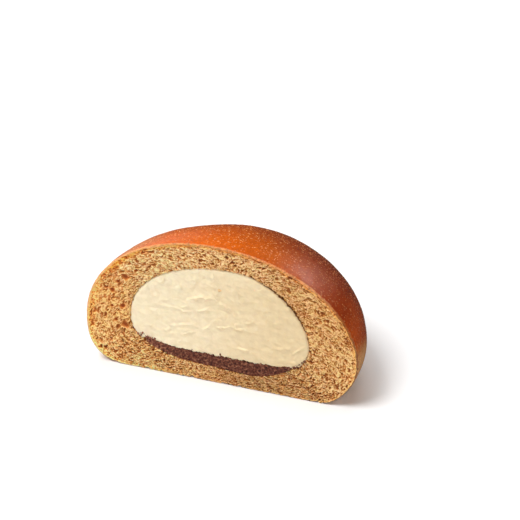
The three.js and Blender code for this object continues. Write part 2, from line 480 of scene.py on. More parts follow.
def wayRound(bench, axes):  # 0 at the left of the cut, 0.25 below, 0.5 at the right and 0.75 at the crown
    up = axes.out("Z") - bunForm["cutMiddle"]
    turn = bench.maths("ARCTAN2", up, axes.out("X") - bunForm["crownX"])
    return turn / fullTurn + 0.5


# the crust's colour, with painted light and shade and a painted reflection on the left shoulder in it
def crustColourAndPaintedLight(bench, axes, drift):  # the crust away from its cut edge
    values = crustValues
    right, height = axes.out("X") / mm, axes.out("Z") / mm
    fromCut = (axes.out("Y") - cutY) / mm + drift * 8.0
    # painted light and shade along with the baking: brighter up on the crown, darker towards the right
    baked = bench.ramp((height - right * values["lean"] + drift * 14.0 - 10.0) / 50.0, tints(values["bakeAndShade"]))
    back = bench.ease(fromCut, 2.0, 26.0) * bench.ease(right, 0.0, 28.0, *values["backShare"])
    baked = bench.blend(back, baked, tint(values["back"]))
    nearCut = bench.ease(fromCut, 22.0, 5.0)
    # painted reflection: the left shoulder near the cut is made paler and pinker in the colour
    paintedSheen = bench.ease(right, -18.0, -36.0) * nearCut * values["paintedSheenShare"]
    baked = bench.blend(paintedSheen, baked, tint(values["paintedSheen"]))
    atCut, atLeft = values["footRise"]
    footTop = nearCut * (bench.ease(right, -20.0, -46.0) * atLeft + atCut) + values["footHeight"]
    level = height + drift * 10.0
    golden = bench.ease(level, footTop + 4.0, footTop - 5.0) * values["goldenShare"]
    baked = bench.blend(golden, baked, tint(values["golden"]))
    return bench.blend(bench.ease(level, footTop + 1.0, footTop - 7.0), baked, tint(values["foot"]))


def rimColour(bench, place, axes, drift):
    rim = bench.ramp(wayRound(bench, axes) + drift * 0.06, tints(rimColours))
    torn = bench.noise(place, crustValues["scales"]["torn"], 2.0, 0.6)
    flaked = bench.tones(torn, [(0.35, (0.62, 0.54, 0.5)), (0.62, (1.1, 1.1, 1.1))])
    return bench.blend(bench.ease(axes.out("X") / mm, -34.0, -12.0), rim, bench.times(rim, flaked))


def crustMaterial():
    values = crustValues
    material, bench, place = newMaterial("glazedCrust")
    axes = bench.split(place)
    scales = values["scales"]
    drift = bench.noise(place, scales["drift"], 4.0) - 0.5
    grain = bench.noise(place, scales["grain"], 3.0, 0.6)
    fine = bench.noise(place, scales["fine"], 2.0, 0.6)
    edge = bench.ease((axes.out("Y") - cutY) / mm + (grain - 0.5) * 1.6, 0.8, 0.1)
    colour = bench.blend(edge, crustColourAndPaintedLight(bench, axes, drift), rimColour(bench, place, axes, drift))
    spots = bench.cells(place, scales["specks"])
    picked = bench.split(spots.out("Color")) > 0.55
    speck = bench.ease(spots.out("Distance"), 0.3, 0.1) * picked
    mottle = bench.tones(grain * 0.5 + fine * 0.5, [(0.36, (0.78, 0.68, 0.6)), (0.64, (1.2, 1.28, 1.34))])
    mottled = bench.vector("MINIMUM", bench.times(colour, mottle), (1.0, 1.0, 1.0))
    endMaterial(bench, {
        "Base Color": bench.blend(speck * values["speckShare"], mottled, tint(values["speck"])),
        "Roughness": drift * 0.12 + (fine - 0.5) * 0.2 + edge * 0.3 + values["roughness"],
        "Normal": bumped(bench, grain * 0.6 + fine * 0.5 + speck * 0.25, values["bump"]),
        **values["finish"],
    })
    return material


def crustRelief(material):
    inputs = {
        "Dimple depth": 0.0002, "Dimple size": 0.007, "Grain depth": 0.00004, "Grain size": 0.001,
        "Ragged": 0.0001, "Seed": 3,
    }
    bench, start = newGrowth("crustRelief", inputs)
    place = bench.node("GeometryNodeInputPosition")
    place = bench.plus(place, bench.stretch((0.31, 0.17, 0.23), start.out("Seed")))
    dimples = bench.noise(place, 1 / start.out("Dimple size"), 1.0) - 0.5
    grain = bench.noise(place, 1 / start.out("Grain size"), 2.0) - 0.5
    rise = dimples * 2 * start.out("Dimple depth") + grain * 2 * start.out("Grain depth")
    offset = bench.stretch(bench.node("GeometryNodeInputNormal"), rise * named(bench, "skin"))
    torn = bench.times(bench.sway(place, 700.0, 3.0, 0.6), (1.0, 0.6, 1.0))
    torn = bench.stretch(torn, start.out("Ragged") * 2 * named(bench, "rim"))
    return endGrowth(bench, moved(bench, start, bench.plus(offset, torn)), material)


def crustThickness(around):
    crown, sole = crustValues["thickness"]
    uneven = 1 + 0.3 * np.sin(19 * around + 1) * np.sin(7 * around) + 0.2 * np.sin(61 * around)
    return (crown + (sole - crown) * np.clip(-np.sin(around) * 1.6, 0, 1)) * uneven


def insetSurface(around, opening, depth):  # the crust's form moved in along its normals
    step = 2e-3
    here = bunSurface(towards(around, opening))
    along = bunSurface(towards(around + step, opening)) - bunSurface(towards(around - step, opening))
    back = bunSurface(towards(around, min(opening + step, math.pi / 2 - 1e-6)))
    back = back - bunSurface(towards(around, opening - step))
    normal = np.cross(along, back)
    normal /= np.linalg.norm(normal, axis=-1, keepdims=True)
    inside = np.array([0, cutY + 15 * mm, 20 * mm])
    inward = np.sign(((inside - here) * normal).sum(-1, keepdims=True))
    points = here + normal * inward * np.reshape(depth, (-1, 1))
    if opening > math.pi / 2 - 1e-6:
        points[:, 1] = cutY
    return points


def rearPole(depth=0.0):
    return bunSurface(towards(np.zeros(1), np.zeros(1)))[0] - np.array([0, depth, 0])


def makeCrust(material):
    values = crustValues
    skin = Skin()
    around = evenAngles(bunSurface, values["columns"])
    even = np.ones(len(around))
    rings = []
    for row, opening in enumerate(np.linspace(math.pi / 2, 0, values["rows"] + 1)[:-1]):
        points = bunSurface(towards(around, opening))
        if row == 0:
            points[:, 1] += values["rimRound"]
        relief = even * min(1.0, row / values["reliefRows"])
        torn = even * max(0.0, 1 - row / values["tornRows"])
        rings.append(skin.ring(points, skin=relief, rim=torn))
    for first, second in zip(rings, rings[1:]):
        skin.band(first, second)
    skin.cap(rings[-1], rearPole())
    thick = crustThickness(around)
    last = rings[0]
    for row in range(1, values["rimRows"] + 1):
        share = row / values["rimRows"]
        points = insetSurface(around, math.pi / 2, thick * share)
        points[:, 1] += values["rimRound"] * (1 - share) ** 3
        rim = skin.ring(points, rim=even * (1 - share * 0.8))
        skin.band(last, rim)
        last = rim
    step = values["coarser"]
    openings = np.linspace(math.pi / 2, 0, values["insideRows"] + 2)[1:-1]
    inside = [insetSurface(around[::step], opening, thick[::step]) for opening in openings]
    skin.close(last, inside, rearPole(thick[0]))
    return grow(skin.piece("crust"), crustRelief(material), {
        "Dimple depth": values["dimple"], "Dimple size": values["dimpleSize"],
        "Grain depth": values["grain"], "Grain size": values["grainSize"], "Ragged": values["ragged"],
    })


# pale flecks of bran that show in the crust
fleckValues = {
    "perSquareMm": 0.75,
    "least": (0.1 * mm, 0.07 * mm, 0.03 * mm),
    "more": (0.36 * mm, 0.12 * mm, 0.05 * mm),  # what the few largest have on top
    "colours": [(0.1, "b4622e"), (0.9, "f0a862")],  # from the right side up to the crown, darker on the right side in painted shade
    "scale": 800.0,  # per metre
    "finish": {"Roughness": 0.5, "Specular IOR Level": 0.25},
}


def fleckMaterial():
    material, bench, place = newMaterial("branFlecks")
    axes = bench.split(place)
    # painted shade: the flecks grow darker towards the right side, where the crust is lit least
    lit = (axes.out("Z") - axes.out("X") * crustValues["lean"]) / 0.05 - 0.2
    share = lit + (bench.noise(place, fleckValues["scale"], 1.0) - 0.5) * 0.8
    colour = bench.ramp(share, tints(fleckValues["colours"]))
    endMaterial(bench, {"Base Color": colour, **fleckValues["finish"]})
    return material


def fleckScatter(material):
    bench, start = newGrowth("fleckScatter", {"Per square metre": 500000.0, "Seed": 11})
    seed = start.out("Seed")
    notBelow = bench.split(bench.node("GeometryNodeInputNormal")).out("Z") > -0.5
    spread = bench.node("GeometryNodeDistributePointsOnFaces", {"distribute_method": "RANDOM"}, {
        "Mesh": start, "Selection": (named(bench, "skin") > 0.9) * notBelow,
        "Density": start.out("Per square metre"), "Seed": seed,
    })
    chance = chanceOf(bench, {"Seed": seed})
    size = bench.stretch(fleckValues["more"], chance * chance * chance)
    spin = bench.join(z=chanceOf(bench, {3: fullTurn, "Seed": 4}))
    spin = bench.node("FunctionNodeEulerToRotation", None, {0: spin})
    sockets = {0: spread.out("Rotation"), 1: spin}
    facing = bench.node("FunctionNodeRotateRotation", {"rotation_space": "LOCAL"}, sockets)
    fleck = bench.node("GeometryNodeMeshIcoSphere", None, {"Radius": 1.0, "Subdivisions": 1})
    placed = bench.node("GeometryNodeInstanceOnPoints", None, {
        "Points": spread, "Instance": fleck, "Rotation": facing,
        "Scale": bench.plus(size, fleckValues["least"]),
    })
    return endGrowth(bench, placed, material)


def makeFlecks(crust, material):
    piece = linked("crustFlecks", crust.data.copy())
    return grow(piece, fleckScatter(material), {"Per square metre": fleckValues["perSquareMm"] / mm ** 2})


crumbValues = {
    "columns": 1296,
    "rows": 68,
    "coarser": 8,
    "hiddenRows": 8,
    "gap": 0.05 * mm,  # between its hidden back and the crust
    "poreDepth": 0.9 * mm,
    "poreSize": 1.35,  # mm
    # size beside the pore size, depth, share of the cells that the knife opened, and more at the left
    "poreKinds": [
        (1.3, 0.9, 0.06, 0.35), (1.0, 0.85, 0.4, 0.2), (0.62, 0.75, 0.65, 0.1), (0.38, 0.6, 0.65, 0),
    ],
    "bends": [(0.35, 2.2), (1.1, 0.8)],  # scale and reach of what bends the rows of pores
    "drum": 34.0,  # radius in mm of the round that the ring is wrapped on, so that its pores have no seam
    "flatness": 1.3,
    "flatter": (0.5, 0.7),  # and more so: below, and near the crust
    "lowHeight": 10 * mm,
    "toast": (1.1 * mm, 2.9 * mm),  # how deep the baked colour goes: least, and at the left
    # from the cells' walls down into the pores: the pale walls partly a painted highlight, the darker pores
    # painted shade
    "colours": [(0.1, "ffdd9f"), (0.32, "df9b57"), (0.58, "aa622b"), (0.95, "723a16")],
    # the largest pores, at the left: x, z and radius in mm
    "largePores": [
        (-33.2, 35.3, 1.15), (-35.8, 32.8, 0.7), (-33.8, 16.1, 1.25), (-38.0, 29.2, 0.9),
        (-38.2, 22.8, 0.65), (-34.6, 23.5, 1.0), (-29.5, 38.5, 0.6), (-37.0, 17.5, 0.65),
    ],
    "russet": (1.03, 0.84, 0.7),  # what the wall of such a pore looks like
    "parting": (0.42, 0.3, 0.22),  # painted shade: the dark line in the gap where the cream has come away
    "scales": {"grain": 1700.0, "hue": 520.0, "blotch": 330.0, "cloud": 150.0},  # per metre
    "bump": 0.2 * mm,
    "finish": {
        "Roughness": 0.8,
        "Specular IOR Level": 0.3,
        "Subsurface Weight": 0.1,
        "Subsurface Radius": (1.0, 0.55, 0.3),
        "Subsurface Scale": 0.001,
    },
}
# how warm and pale the crumb is round the ring, from the left under the filling to the left again: partly
# its own tone, partly painted shade that darkens the right and the lower right
crumbTonesAndPaintedShade = [
    (0.0, (1.0, 0.92, 0.78)), (0.08, (1.22, 1.22, 1.16)), (0.15, (1.08, 1.04, 0.98)),
    (0.36, (0.86, 0.77, 0.69)), (0.46, (0.97, 0.93, 0.87)), (0.56, (0.95, 0.87, 0.75)),
    (0.66, (0.96, 0.93, 0.91)), (0.78, (1.07, 1.06, 1.06)), (0.9, (1.1, 1.12, 1.12)),
    (0.96, (1.06, 0.92, 0.72)), (1.0, (1.0, 0.92, 0.78)),
]
# how warm and pale the browned zone next to the crust is round the ring, on top
toastTones = [
    (0.0, (1.16, 0.98, 0.68)), (0.04, (1.2, 1.16, 0.98)), (0.09, (1.1, 1.06, 0.9)),
    (0.2, (0.95, 0.85, 0.75)), (0.45, (1.05, 1.0, 0.9)), (0.54, (1.05, 0.86, 0.6)),
    (0.63, (1.1, 0.76, 0.4)), (0.84, (1.12, 0.8, 0.42)), (0.92, (1.18, 0.72, 0.26)),
    (0.95, (1.26, 1.16, 1.04)), (1.0, (1.16, 0.98, 0.68)),
]


def crumbMaterial():
    values = crumbValues
    material, bench, place = newMaterial("breadCrumb")
    way = wayRound(bench, bench.split(place))
    scales = values["scales"]
    grain = bench.noise(place, scales["grain"], 3.0, 0.65)
    cloud = bench.noise(place, scales["cloud"], 3.0)
    blotch = bench.noise(place, scales["blotch"], 2.0)
    # painted shade, darker further down in the pores, and a painted highlight on the pale walls
    depth = shadeOf(bench, "pore") + (grain - 0.5) * 0.6 + (cloud - 0.5) * 0.2
    colour = bench.ramp(depth, tints(values["colours"]))
    baked = bench.ease(shadeOf(bench, "toast") + (blotch - 0.5) * 1.5, 1.25, 0.25)
    colour = bench.blend(baked, colour, bench.times(colour, bench.tones(way, toastTones)))
    hue = bench.noise(place, scales["hue"], 2.0)
    colour = bench.times(colour, bench.tones(hue, [(0.38, (1.03, 0.98, 1.05)), (0.62, (0.99, 1.01, 0.93))]))
    colour = bench.blend(shadeOf(bench, "cavern"), colour, bench.times(colour, values["russet"]))
    # the crumb's own tone with painted shade, darker at the right and the lower right
    colour = bench.times(colour, bench.tones(way + (cloud - 0.5) * 0.08, crumbTonesAndPaintedShade))
    # painted shade in the gap round the cream, on the crumb's last rows
    parting = shadeOf(bench, "parting") * bench.ease(blotch, 0.4, 0.55)
    colour = bench.blend(parting, colour, bench.times(colour, values["parting"]))
    endMaterial(bench, {
        "Base Color": bench.vector("MINIMUM", colour, (1.0, 1.0, 1.0)),
        "Normal": bumped(bench, grain, values["bump"]),
        **values["finish"],
    })
    return material


def crumbPores(material):
    inputs = {"Depth": 0.0011, "Pore size": 1.5, "Wall": 0.05, "Drift": 0.00014, "Seed": 5}
    bench, start = newGrowth("crumbPores", inputs)
    place = named(bench, "ringPlace", "FLOAT_VECTOR")
    place = bench.plus(place, bench.stretch((3.7, 1.3, 2.9), start.out("Seed")))
    for scale, reach in crumbValues["bends"]:
        place = bench.plus(place, bench.stretch(bench.sway(place, scale), reach))
    coarse = named(bench, "coarse")
    wall = start.out("Wall")
    depth = None
    for size, deep, share, more in crumbValues["poreKinds"]:
        scale = 1 / (start.out("Pore size") * size)
        edge = bench.cells(place, scale, "DISTANCE_TO_EDGE").out("Distance")
        chance = bench.split(bench.cells(place, scale).out("Color"))
        opened = 0.25 + (chance < coarse * more + share) * 0.75  # the others are only sunk a little
        hollow = bench.ease(edge, wall, wall + 0.2) * opened
        hollow = hollow * (0.5 + chance.out("Y") * 0.5) * deep
        depth = hollow if depth is None else bench.maths("MAXIMUM", depth, hollow)
    depth = depth + (bench.noise(place, 2.4, 3.0, 0.6) - 0.5) * 0.3
    depth = depth * (1.0 - coarse * 0.2 + named(bench, "dense") * 0.35)
    depth = bench.maths("MAXIMUM", depth, named(bench, "cavern") * 0.8)
    mask = named(bench, "open")
    drift = start.out("Drift") * mask * 2.0 * (1.0 + named(bench, "brim") * 2.0)
    down = bench.join(y=depth * mask * start.out("Depth"))
    offset = bench.plus(bench.stretch(bench.sway(place, 1.9), drift), down)
    return endGrowth(bench, keepMark(bench, moved(bench, start, offset), "pore", depth * mask), material)


def leftShare(points):
    return np.clip(-points[:, 0] / (44 * mm), 0, 1)


def cavernDepth(points):
    deep = np.zeros(len(points))
    for x, z, radius in crumbValues["largePores"]:
        ruffle = 1 + 0.25 * np.sin(points[:, 0] * 2.1 / mm + x) * np.sin(points[:, 2] * 1.7 / mm + z)
        gap = np.hypot(points[:, 0] / mm - x, points[:, 2] / mm - z) / (radius * ruffle)
        deep = np.maximum(deep, np.exp(-gap ** 4))
    return deep


def makeCrumb(material):
    values = crumbValues
    skin = Skin()
    outerAngles = evenAngles(bunSurface, values["columns"])
    innerAngles = evenAngles(fillingSurface, values["columns"])
    thick = crustThickness(outerAngles)
    outer = insetSurface(outerAngles, math.pi / 2, thick)
    inner = fillingSurface(towards(innerAngles, math.pi / 2))
    width = np.linalg.norm(outer - inner, axis=-1)
    turn = np.arange(values["columns"]) / values["columns"] * fullTurn
    even = np.ones(len(turn))
    toastWidth = between(values["toast"], leftShare(outer) ** 1.5)
    low = np.clip(1 - outer[:, 2] / values["lowHeight"], 0, 1)
    lowFlatter, edgeFlatter = values["flatter"]
    away = inner[:, [0, 2]] - np.array(creamValues["middle"])
    parted = cameAway(np.arctan2(away[:, 1], away[:, 0]))
    rings = []
    for row in range(values["rows"] + 1):
        share = row / values["rows"]
        inward = share * width
        nearEdge = np.exp(-inward / (1.5 * mm))
        squeeze = values["flatness"] * (1 + lowFlatter * low + edgeFlatter * nearEdge)
        wrapped = [values["drum"] * np.cos(turn), values["drum"] * np.sin(turn)]
        points = outer + (inner - outer) * share
        rings.append(skin.ring(
            points,
            ringPlace=np.stack([*wrapped, inward / mm * squeeze], -1),
            toast=inward / toastWidth,
            coarse=leftShare(outer) * math.sin(math.pi * min(share * 1.15, 1)),
            dense=low,
            cavern=cavernDepth(points),
            open=even * min(1.0, row / 2),
            brim=even * max(0.0, share * 8 - 7),  # the torn edge round the filling
            # painted shade on the last rows, along the gap where the cream has come away
            parting=parted * max(0.0, share * 22 - 21),
        ))
    for first, second in zip(rings, rings[1:]):
        skin.band(first, second)
    step, gap = values["coarser"], values["gap"]
    openings = np.linspace(math.pi / 2, 0, values["hiddenRows"] + 2)[1:-1]
    behind = [insetSurface(outerAngles[::step], opening, thick[::step] + gap) for opening in openings]
    skin.close(rings[0], behind, rearPole(crustValues["thickness"][0] + gap))
    hollow = [fillingSurface(towards(innerAngles[::step], opening)) for opening in openings]
    skin.close(rings[-1], hollow, fillingSurface(towards(np.zeros(1), np.zeros(1)))[0])
    return grow(skin.piece("crumb"), crumbPores(material), {
        "Depth": values["poreDepth"], "Pore size": values["poreSize"],
    })


creamValues = {
    "steps": 220,
    "coarser": 8,
    "middle": (0.5 * mm, 25 * mm),
    "recess": 0.25 * mm,
    "lip": 0.8 * mm,  # width of the rounded edge
    "lipDrop": 0.4 * mm,
    "gap": (0.03 * mm, 0.75 * mm),  # to the crumb: all round, and at the upper right
    "wobble": 0.17 * mm,
    "pasteGap": 0.05 * mm,
    "backRows": 8,
    "depth": 31.0 * mm,
    "smear": 0.4 * mm,
    "colour": "fae9c7",
    # painted shade: the colour the cream darkens to towards the right
    "deep": "ecd5aa",
    "parting": "86542c",  # painted shade in the gap where the cream has come away from the crumb
    "scales": {"cloud": 110.0, "streaks": 430.0, "grain": 700.0},  # per metre, as the next
    "smearScales": {"broad": 190.0, "patches": 330.0, "fine": 380.0, "strokes": 620.0},
    "roughness": 0.36,
    "bump": 0.08 * mm,
    "finish": {
        "Specular IOR Level": 0.4,
        "Subsurface Weight": 0.25,
        "Subsurface Radius": (1.0, 0.7, 0.4),
        "Subsurface Scale": 0.0015,
    },
}
# strokes that the knife left: start, bend and end on the cut face, width and height, all in mm
knifeStrokes = [
    ((-21.5, 26.8), (-17, 27.2), (-12, 26.6), 0.55, 0.22),
    ((-13.8, 26.6), (-12.5, 26.0), (-10.6, 26.7), 0.5, 0.4),
    ((-14, 27.4), (-12.5, 28.2), (-11.2, 29.0), 0.4, 0.3),
    ((-8.5, 27.4), (-6, 27.6), (-3.8, 29.6), 0.5, 0.34),
    ((-11.5, 30.5), (-7, 34.5), (-1.5, 32.8), 1.0, 0.3),
    ((-2.5, 33.2), (2.2, 31.8), (5.2, 28.6), 0.7, 0.36),
    ((-18.5, 19.2), (-13, 21.2), (-8.6, 22.0), 0.55, 0.26),
    ((-13.2, 16.8), (-11.5, 18.4), (-9.8, 18.7), 0.5, 0.3),
    ((-6.4, 20.0), (-4.0, 22.0), (-2.6, 24.4), 0.6, 0.36),
    ((-1.8, 22.6), (0.4, 22.2), (2.8, 23.4), 0.5, 0.45),
    ((4.8, 23.6), (6.6, 23.0), (8.8, 23.8), 0.55, 0.42),
    ((-26, 23.5), (-22, 25.2), (-18, 24.6), 0.9, 0.14),
    ((17, 20), (20, 17), (25, 20.5), 0.8, 0.24),
    ((24, 17), (26.5, 18.5), (28.5, 21.5), 0.6, 0.26),
    ((12, 33), (18, 31), (21, 25), 1.2, 0.18),
    ((-20.2, 38.2), (-19.6, 36.5), (-19.4, 34.8), 0.9, 0.24),
    ((-14.6, 37.0), (-14.2, 35.4), (-13.2, 33.8), 0.8, 0.22),
    ((-7.8, 41.2), (-8.6, 39.0), (-8.9, 37.0), 1.1, 0.26),
    ((-2.6, 43.2), (-2.0, 41.4), (-1.8, 39.4), 0.9, 0.2),
    ((3.5, 41.0), (6, 38.6), (7.5, 36.0), 1.0, 0.2),
    ((-26.0, 33.5), (-25.0, 31.5), (-25.5, 29.5), 1.0, 0.22),
    ((-22.5, 33.0), (-21.6, 31.0), (-22.2, 29.0), 0.9, 0.2),
    ((6, 15.4), (9, 16.2), (12, 14.2), 0.6, 0.28),
]
# short dabs between the strokes, drawn at random, in mm
dabValues = {
    "count": 46,
    "across": (-30, 29),
    "up": (12, 43),
    "middle": (0.5, 22),  # of the oval that they keep within, and its half width and height
    "half": (30, 21),
    "reach": (1.0, 2.6),
    "width": (0.45, 1.0),
    "height": (0.06, 0.2),
    "seed": 12,
}


def knifeDabs():
    values = dabValues
    draw = np.random.default_rng(values["seed"])
    dabs = []
    while len(dabs) < values["count"]:
        x, z = draw.uniform(*values["across"]), draw.uniform(*values["up"])
        if np.hypot(*((np.array([x, z]) - values["middle"]) / values["half"])) > 1:
            continue
        upright = z > 31 and x < 10  # the knife came down here, and went across lower down
        turn = draw.normal(math.pi / 2 if upright else 0.25, 0.4)
        reach = between(values["reach"], draw.uniform())
        way = np.array([math.cos(turn), math.sin(turn)]) * reach
        bend = np.array([-way[1], way[0]]) * draw.uniform(-0.3, 0.3)
        middle = np.array([x, z])
        width, height = between(values["width"], draw.uniform()), between(values["height"], draw.uniform())
        dabs.append((middle - way, middle + bend, middle + way, width, height))
    return dabs


def creamMaterial():
    values = creamValues
    material, bench, place = newMaterial("custardCream")
    axes = bench.split(place)
    scales = values["scales"]
    cloud = bench.noise(place, scales["cloud"], 4.0, 0.55)
    grain = bench.noise(place, scales["grain"], 3.0, 0.6)
    streaks = bench.noise(place, scales["streaks"], 3.0, 0.6)
    # painted shade: the cream darker towards the right
    paintedShadeToRight = bench.ease(axes.out("X") / mm + (cloud - 0.5) * 25.0, -22.0, 26.0)
    colour = bench.blend(paintedShadeToRight, tint(values["colour"]), tint(values["deep"]))
    mottle = bench.tones(streaks, [(0.36, (0.95, 0.93, 0.9)), (0.64, (1.03, 1.03, 1.03))])
    # painted shade: cream more than about 0.65 mm behind the cut, in the gap at its edge, is coloured dark
    # brown
    sunk = bench.ease((axes.out("Y") - cutY) / mm + (streaks - 0.5) * 0.8, 0.65, 1.0)
    endMaterial(bench, {
        "Base Color": bench.blend(sunk, bench.times(colour, mottle), tint(values["parting"])),
        "Roughness": (cloud - 0.5) * 0.3 + values["roughness"],
        "Normal": bumped(bench, grain, values["bump"]),
        **values["finish"],
    })
    return material


def creamSmears(material):
    bench, start = newGrowth("creamSmears", {"Height": 0.0002, "Stretch": 2.2, "Seed": 8})
    place = bench.node("GeometryNodeInputPosition")
    axes = bench.split(place)
    along = axes.out("X") + axes.out("Z") * 0.4 + start.out("Seed") * 0.1
    spot = bench.join(along / start.out("Stretch"), z=axes.out("Z"))
    scales = creamValues["smearScales"]
    broad = bench.noise(spot, scales["broad"], 2.0) - 0.5
    fine = bench.noise(place, scales["fine"], 3.0, 0.6) - 0.5
    patches = bench.cells(bench.plus(spot, bench.stretch(place, 0.6)), scales["patches"])
    patches = patches.out("Distance") - 0.5
    rise = (broad * 1.8 + fine * 1.3 + patches * 0.5) * start.out("Height") * named(bench, "face")
    uneven = bench.noise(place, scales["strokes"], 3.0, 0.6) * 6.0 - 1.4
    rise = rise + named(bench, "stroke") * uneven
    return endGrowth(bench, moved(bench, start, bench.join(y=0.0 - rise)), material)


def pasteTopLevel(x):  # where the cream lies on the paste, with its small unevenness
    top = pasteTop
    right = np.clip((x + 10 * mm) / (20 * mm), 0, 1)
    rise = between(top["rimRise"], right * right * (3 - 2 * right))
    level = top["middleHeight"] + rise * np.abs(x / top["rimRadius"]) ** top["rimPower"]
    waves = sum(size * np.sin(rate * x / mm + turn) for rate, turn, size in top["waves"])
    return level + waves * top["uneven"]


def strokeHeight(points):  # how far the knife's ridges stand up at points (x, z) on the cream
    height = np.zeros(len(points))
    for start, bend, end, width, rise in knifeStrokes + knifeDabs():
        t = np.linspace(0, 1, 40)[:, None]
        line = (1 - t) ** 2 * np.array(start) + 2 * t * (1 - t) * np.array(bend) + t ** 2 * np.array(end)
        gaps = np.linalg.norm(points[:, None] / mm - line[None], axis=-1)
        nearest = gaps.argmin(1)
        fade = np.sin(math.pi * np.clip(t[nearest, 0], 0.03, 0.97)) ** 0.6
        away = points / mm - line[nearest]
        along = np.gradient(line, axis=0)[nearest]
        steep = along[:, 0] * away[:, 1] - along[:, 1] * away[:, 0] > 0
        gap = gaps.min(1) / np.where(steep, width * 0.5, width * 1.8)
        height = np.maximum(height, rise * mm * fade * np.exp(-gap ** 2))
    return height


def faceOutline(corners):  # a round of points as a radius for each direction from the middle
    away = corners - np.array(creamValues["middle"])
    angle = np.arctan2(away[:, 1], away[:, 0])
    order = np.argsort(angle)
    return angle[order], np.linalg.norm(away, axis=-1)[order]


def cameAway(turn):  # where the cream has shrunk from the crumb, most at the upper right
    return np.exp(-((turn - math.radians(38)) / math.radians(30)) ** 2)


def creamEdge():  # the cream's outline on the cut, as radius against direction
    values = creamValues
    fine = np.linspace(0, fullTurn, 6000)
    line = fillingSurface(towards(fine, math.pi / 2))[:, [0, 2]]
    least, most = values["gap"]
    wobble = np.sin(23 * fine + 1) + 0.8 * np.sin(57 * fine + 2) + 0.6 * np.sin(131 * fine)
    inset = least + (most - least) * cameAway(fine) + np.abs(wobble) * values["wobble"]
    middle = np.array(values["middle"])
    away = line - middle
    reach = np.linalg.norm(away, axis=-1)
    angle, radius = faceOutline(middle + away * ((reach - inset) / reach)[:, None])
    across = np.linspace(-34 * mm, 34 * mm, 2400)
    bed = np.stack([across, pasteTopLevel(across) + values["pasteGap"]], -1)
    bedAngle, bedRadius = faceOutline(bed)
    bedX = middle[0] + np.cos(bedAngle) * bedRadius
    bedRadius[(bedX < pasteValues["leftTip"]) | (bedX > pasteValues["rightTip"])] = 1.0  # no paste there
    return angle, np.minimum(radius, np.interp(angle, bedAngle, bedRadius, left=1.0, right=1.0))


def smoothed(values, count):  # a running mean round a closed line
    padded = np.concatenate([values[-count:], values, values[:count]])
    return np.convolve(padded, np.ones(count) / count, "same")[count:-count]


def closeBack(skin, loop, rim, values, centre, start):  # a rounded back behind a face, inside the bread
    rings = []
    for share in np.linspace(0, 1, values["backRows"] + 2)[1:-1]:
        shrink = math.sqrt(1 - share * share)
        back = rim[::values["coarser"]] * shrink + centre * (1 - shrink)
        back[:, 1] = cutY + start + (values["depth"] - start) * share
        rings.append(back)
    skin.close(loop, rings, centre + np.array([0, cutY + values["depth"], 0]))


def gridFaces(skin, ids):  # squares over a grid of points, and the way round its border
    for i in range(ids.shape[0] - 1):
        for j in range(ids.shape[1] - 1):
            skin.faces.append([ids[i, j], ids[i + 1, j], ids[i + 1, j + 1], ids[i, j + 1]])
    return np.concatenate([ids[:-1, 0], ids[-1, :-1], ids[:0:-1, -1], ids[0, :0:-1]])


def makeCream(material):
    values = creamValues
    angle, radius = creamEdge()
    middle = np.array(values["middle"])
    side = np.linspace(-1, 1, values["steps"] + 1)
    u, v = np.meshgrid(side, side, indexing="ij")
    discX, discZ = u * np.sqrt(1 - v * v / 2), v * np.sqrt(1 - u * u / 2)
    reach = np.hypot(discX, discZ)
    turn = np.arctan2(discZ, discX)
    rim = np.interp(turn.ravel(), angle, radius, period=fullTurn).reshape(turn.shape)
    even = np.interp(turn.ravel(), angle, smoothed(radius, 260), period=fullTurn).reshape(turn.shape)
    out = reach * even + reach ** 14 * (rim - even)  # only the edge follows the outline's small turns
    flat = np.stack([middle[0] + np.cos(turn) * out, middle[1] + np.sin(turn) * out], -1)
    lip = np.clip(1 - (1 - reach) * rim / values["lip"], 0, 1)
    level = cutY + values["recess"] + values["lipDrop"] * lip ** 2 * (1 + 2 * cameAway(turn))
    front = np.stack([flat[..., 0], level, flat[..., 1]], -1)
    strokes = strokeHeight(flat.reshape(-1, 2)) * (1 - lip.ravel())
    skin = Skin()
    ids = skin.ring(front.reshape(-1, 3), face=(1 - lip * 0.6).ravel(), stroke=strokes).reshape(u.shape)
    loop = gridFaces(skin, ids)
    centre = np.array([fillingForm["crownX"], 0, middle[1]])
    closeBack(skin, loop, front.reshape(-1, 3)[loop], values, centre, values["recess"] + values["lipDrop"])
    return grow(skin.piece("creamFilling"), creamSmears(material), {"Height": values["smear"]})


pasteValues = {
    "columns": 400,
    "rows": 32,
    "coarser": 8,
    "leftTip": -26.2 * mm,
    "rightTip": 24.0 * mm,
    "recess": 0.3 * mm,
    "edge": 0.5 * mm,
    "edgeDrop": 0.3 * mm,
    "backRows": 7,
    "depth": 30.5 * mm,
    "grain": 0.38 * mm,
    "grainSize": 0.8,  # mm
    "fringe": (0.12 * mm, 0.11 * mm),  # how far it is pressed into the crumb, and how unevenly
    "middleHeight": 9 * mm,
    "colours": [(0.36, "38140a"), (0.52, "723826"), (0.7, "ac7656")],
    "thin": (1.45, 1.6, 1.65),  # where cream shows through
    "scales": {"grain": 1300.0, "patches": 260.0},  # per metre
    "bump": 0.25 * mm,
    "finish": {"Roughness": 0.5, "Specular IOR Level": 0.4},
}


